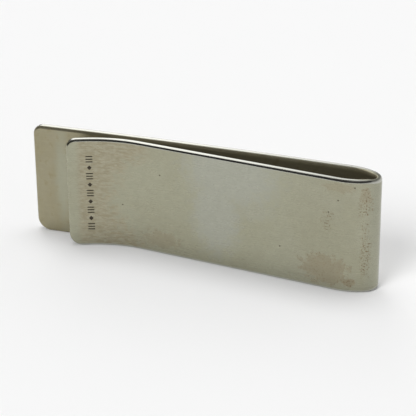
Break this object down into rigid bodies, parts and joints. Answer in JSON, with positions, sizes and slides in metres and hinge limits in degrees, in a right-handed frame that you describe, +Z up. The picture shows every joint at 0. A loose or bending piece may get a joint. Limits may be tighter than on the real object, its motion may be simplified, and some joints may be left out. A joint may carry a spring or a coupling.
{
  "type": "money clip",
  "caption": "Spring money clip: a polished silver strip folded into a hairpin, with a curled lip that lets folded notes slide in under the front leaf.",
  "frame": {"origin": "on the foot the clip stands on, under the middle of the whole clip's bounding box", "axes": "+X along the back leaf towards the spring bend, +Y from the front leaf towards the back leaf, +Z up across the strip's width"},
  "size_m": [0.0542, 0.0064, 0.017],
  "materials": {
    "silver": "polished silver with a light warm tarnish"
  },
  "bodies": {
    "back_leaf": {"back_leaf": "silver"},
    "spring_bend": {"spring_bend": "silver"},
    "front_leaf": {"front_leaf": "silver"}
  },
  "joints": [
    {"name": "back_root_flex", "type": "hinge", "parent": "back_leaf", "child": "spring_bend", "pos_m": [0.0222, 0.00272, 0.0085], "axis": [0, 0, 1], "range_deg": [0, 4], "stiffness_Nm_per_rad": 10.7},
    {"name": "front_root_flex", "type": "hinge", "parent": "spring_bend", "child": "front_leaf", "pos_m": [0.02137, -0.00311, 0.0085], "axis": [0, 0, 1], "range_deg": [0, 4], "stiffness_Nm_per_rad": 10.7}
  ],
  "couplings": [
    {"joint": "front_root_flex", "follows": "back_root_flex", "ratio": 1}
  ]
}
